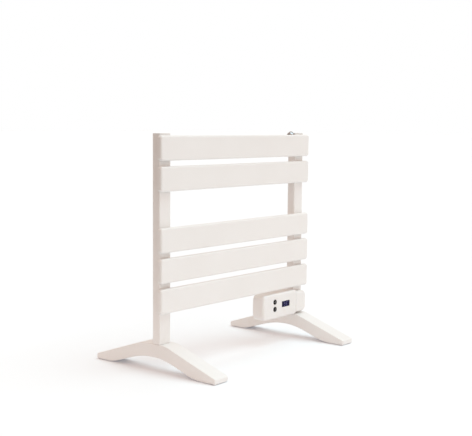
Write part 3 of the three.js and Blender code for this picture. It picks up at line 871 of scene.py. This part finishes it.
LEGEND_DEPTH = 0.35 * MM


def strip(name, inner, outer, start, stop, x, y, z, steps=28):
    """A flat curved stroke on the front face, from start to stop in degrees."""
    back = arc(x, z, inner, stop, start, steps)
    return prism(name, arc(x, z, outer, start, stop, steps) + back, "y", y + 0.02 * MM, y + LEGEND_DEPTH)


def bar(name, low, high, y):
    outline = rounded_rectangle(low, high, 0.15 * MM, 3)
    return prism(name, outline, "y", y + 0.02 * MM, y + LEGEND_DEPTH)


def power_legend(x, y, z):
    ring = strip("ring", 1.75 * MM, 2.3 * MM, 128, 412, x, y, z)
    stem = bar("stem", (x - 0.3 * MM, z + 0.3 * MM), (x + 0.3 * MM, z + 2.6 * MM), y)
    return join("button_up_legend", [ring, stem])


def timer_legend(x, y, z):
    ring = strip("ring", 1.8 * MM, 2.3 * MM, 0, 359, x, y, z, 40)
    hand = bar("hand", (x - 0.25 * MM, z - 0.25 * MM), (x + 0.25 * MM, z + 1.5 * MM), y)
    foot = bar("foot", (x + 0.2 * MM, z - 0.25 * MM), (x + 1.2 * MM, z + 0.25 * MM), y)
    return join("button_down_legend", [ring, hand, foot])


# The strokes of the digit 5, on a grid one wide and two high: start and end corner of each.
FIVE = (((0, 2), (1, 2)), ((0, 1), (0, 2)), ((0, 1), (1, 1)), ((1, 0), (1, 1)), ((0, 0), (1, 0)))


def make_five(name, left, bottom, width, height, y):
    half = 0.45 * MM
    gap = half * 1.15
    strokes = []
    for (u0, v0), (u1, v1) in FIVE:
        x0, x1 = left + u0 * width, left + u1 * width
        z0, z1 = bottom + v0 * height / 2, bottom + v1 * height / 2
        if u0 == u1:
            strokes.append(bar("stroke", (x0 - half, z0 + gap), (x0 + half, z1 - gap), y))
        else:
            strokes.append(bar("stroke", (x0 + gap, z0 - half), (x1 - gap, z1 + half), y))
    return join(name, strokes)


def make_display():
    low, high = pane_box()
    outline = rounded_rectangle((low.x, low.z), (high.x, high.z), 0.8 * MM, 6)
    pane = bevel(prism("pane", outline, "y", low.y, high.y - 1.5 * MM), 0.25 * MM, 3, 50)
    back_low, back_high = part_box("display_window")
    behind = rounded_rectangle((back_low.x, back_low.z), (back_high.x, back_high.z), MM, 6)
    flange = prism("flange", behind, "y", back_high.y - 1.2 * MM, back_high.y)
    window = join("display_pane", [pane, flange])
    finish_piece(window, "display_glass", "display_window")
    width, height = 4.2 * MM, 8.2 * MM
    bottom = (low.z + high.z - height) / 2
    middle = (low.x + high.x) / 2
    face = low.y - 0.05 * MM
    first = make_five("tens", middle - 6.4 * MM, bottom, width, height, face)
    second = make_five("ones", middle + 0.8 * MM, bottom, width, height, face)
    mark = strip("mark", 0.55 * MM, 1.05 * MM, 0, 359, middle + 8.2 * MM, face, bottom + height - MM)
    digits = join("display_digits", [first, second, mark])
    finish_piece(digits, "display_glass", material=SEGMENT)


# ---------------------------------------------------------------- valve, gland and screws


def make_valve():
    low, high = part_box("bleed_valve_body")
    axis = (-1, 0, 0)
    post_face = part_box("post_right")[0].x
    place = (post_face, POST_Y, (low.z + high.z) / 2)
    length = post_face - low.x
    radius = (high.z - low.z) / 2
    shoulder = dome(radius - 0.8 * MM, 0.8 * MM, 2.9 * MM, 3.7 * MM, range(0, 91, 15))
    nose = dome(5.2 * MM, 3.6 * MM, 3.9 * MM, length, range(0, 91, 10))
    profile = [(0.0, -5 * MM), (2.7 * MM, -5 * MM), (2.7 * MM, 1.6 * MM), (radius - 0.3 * MM, 1.6 * MM)]
    profile += [(radius, 1.9 * MM)] + shoulder + nose
    profile += [(3.8 * MM, length), (3.4 * MM, length - 0.4 * MM), (3.4 * MM, 5 * MM), (0.0, 5 * MM)]
    body = lathe("valve_dome", profile, place, axis, 56)
    finish_piece(body, "chrome", "bleed_valve_body")
    tip = length - 0.2 * MM
    stem = 3 * MM
    screw_profile = [(0.0, 5.3 * MM), (stem, 5.3 * MM), (stem, tip - 0.5 * MM), (2.5 * MM, tip), (0.0, tip)]
    screw = lathe("valve_screw", screw_profile, place, axis, 40)
    end = Vector((post_face - tip, POST_Y, place[2]))
    cut(screw, block(end - Vector((MM, 4 * MM, 0.5 * MM)), end + Vector((1.4 * MM, 4 * MM, 0.5 * MM))))
    finish_piece(screw, "valve_dark", "bleed_screw", body="bleed_screw")


def make_gland():
    low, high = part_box("cord_gland")
    x, z = (low.x + high.x) / 2, (low.z + high.z) / 2
    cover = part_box("control_rear_cover")[1].y
    nose = high.y - cover
    bore = 3.2 * MM
    ribs = []
    for k in range(4):
        h = (4.0 + 1.25 * k) * MM
        r = (6.3 - 0.28 * k) * MM
        neck = r - 0.5 * MM
        ribs += [(r, h), (r, h + 0.65 * MM), (neck, h + 0.75 * MM), (neck, h + 1.15 * MM)]
    profile = [(bore, low.y - cover), (5 * MM, low.y - cover), (5 * MM, 0.3 * MM), (7.6 * MM, 0.3 * MM)]
    profile += [(8 * MM, 0.7 * MM), (8 * MM, 2.2 * MM), (7.6 * MM, 2.6 * MM), (6.4 * MM, 3 * MM)]
    profile += ribs + [(5.2 * MM, nose), (bore + 0.3 * MM, nose), (bore, nose - 0.3 * MM)]
    gland = lathe("cord_inlet", profile, (x, cover, z), (0, 1, 0), 48)
    finish_piece(gland, "plastic_white", "cord_gland")


def screw_head(name, node, place, axis, size, slot="zinc_steel"):
    """A domed cross-head screw whose head sits at place. The size is a row of SCREWS."""
    radius, top, shank, length = size
    base = 0.3 * MM
    crown = dome(0.0, radius, base + 0.5 * MM, top, range(0, 90, 12))
    profile = [(0.0, -length), (shank, -length), (shank, base), (radius, base)] + crown + [(0.0, top)]
    screw = lathe(name, profile, place, axis, 32)
    turn = Vector(axis).normalized().to_track_quat("Z", "Y").to_matrix().to_4x4()
    move = Matrix.Translation(Vector(place)) @ turn
    for long, wide in ((radius * 0.62, 0.35 * MM), (0.35 * MM, radius * 0.62)):
        arm = block((-long, -wide, top - 0.9 * MM), (long, wide, top + MM))
        arm.data.transform(move)
        cut(screw, arm)
    finish_piece(screw, slot, node)


# Each screw's head radius, head height, shank radius and shank length.
SCREWS = {
    "cover": (2.7 * MM, 1.7 * MM, 1.1 * MM, 9 * MM),
    "base": (3.4 * MM, 2.1 * MM, 1.5 * MM, 4.4 * MM),
}


def centre(node):
    low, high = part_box(node)
    return (low + high) / 2


def make_screws():
    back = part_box("control_rear_cover")[1].y
    for i in (1, 2, 3, 4):
        node = f"cover_screw_{i}"
        place = (centre(node).x, back, centre(node).z)
        screw_head(f"cover_fixing_{i}", node, place, (0, 1, 0), SCREWS["cover"])
    node = "end_cap_screw"
    place = (centre(node).x, centre(node).y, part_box("control_end_cap")[0].z)
    screw_head("end_cover_fixing", node, place, (0, 0, -1), SCREWS["cover"], "valve_dark")
    node = "base_screw_left"
    place = (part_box("post_left")[1].x, POST_Y, centre(node).z)
    screw_head("base_fixing_left", node, place, (1, 0, 0), SCREWS["base"])
    node = "base_screw_right"
    place = (centre(node).x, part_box("post_right")[1].y, centre(node).z)
    screw_head("base_fixing_right", node, place, (0, 1, 0), SCREWS["base"])


def dress_inner_nodes():
    """Every CAD node that still shows gets its slot's material."""
    slots = {row["node"]: row["material_slot"] for row in frame["record"]["subparts"]}
    for node, piece in frame["nodes"].items():
        piece.data.materials.clear()
        piece.data.materials.append(MATERIALS[slots[node]])


make_studio()
dress_inner_nodes()
for panel_number in range(1, 6):
    make_panel(panel_number)
for post_side in SIDES:
    make_post(post_side)
    make_post_cap(post_side)
    make_welds(post_side)
    make_foot(post_side)
    make_pads(post_side)
make_front_cover()
make_rear_cover()
make_end_cap()
for button in ("button_up", "button_down"):
    make_button(button)
make_display()
make_valve()
make_gland()
make_screws()
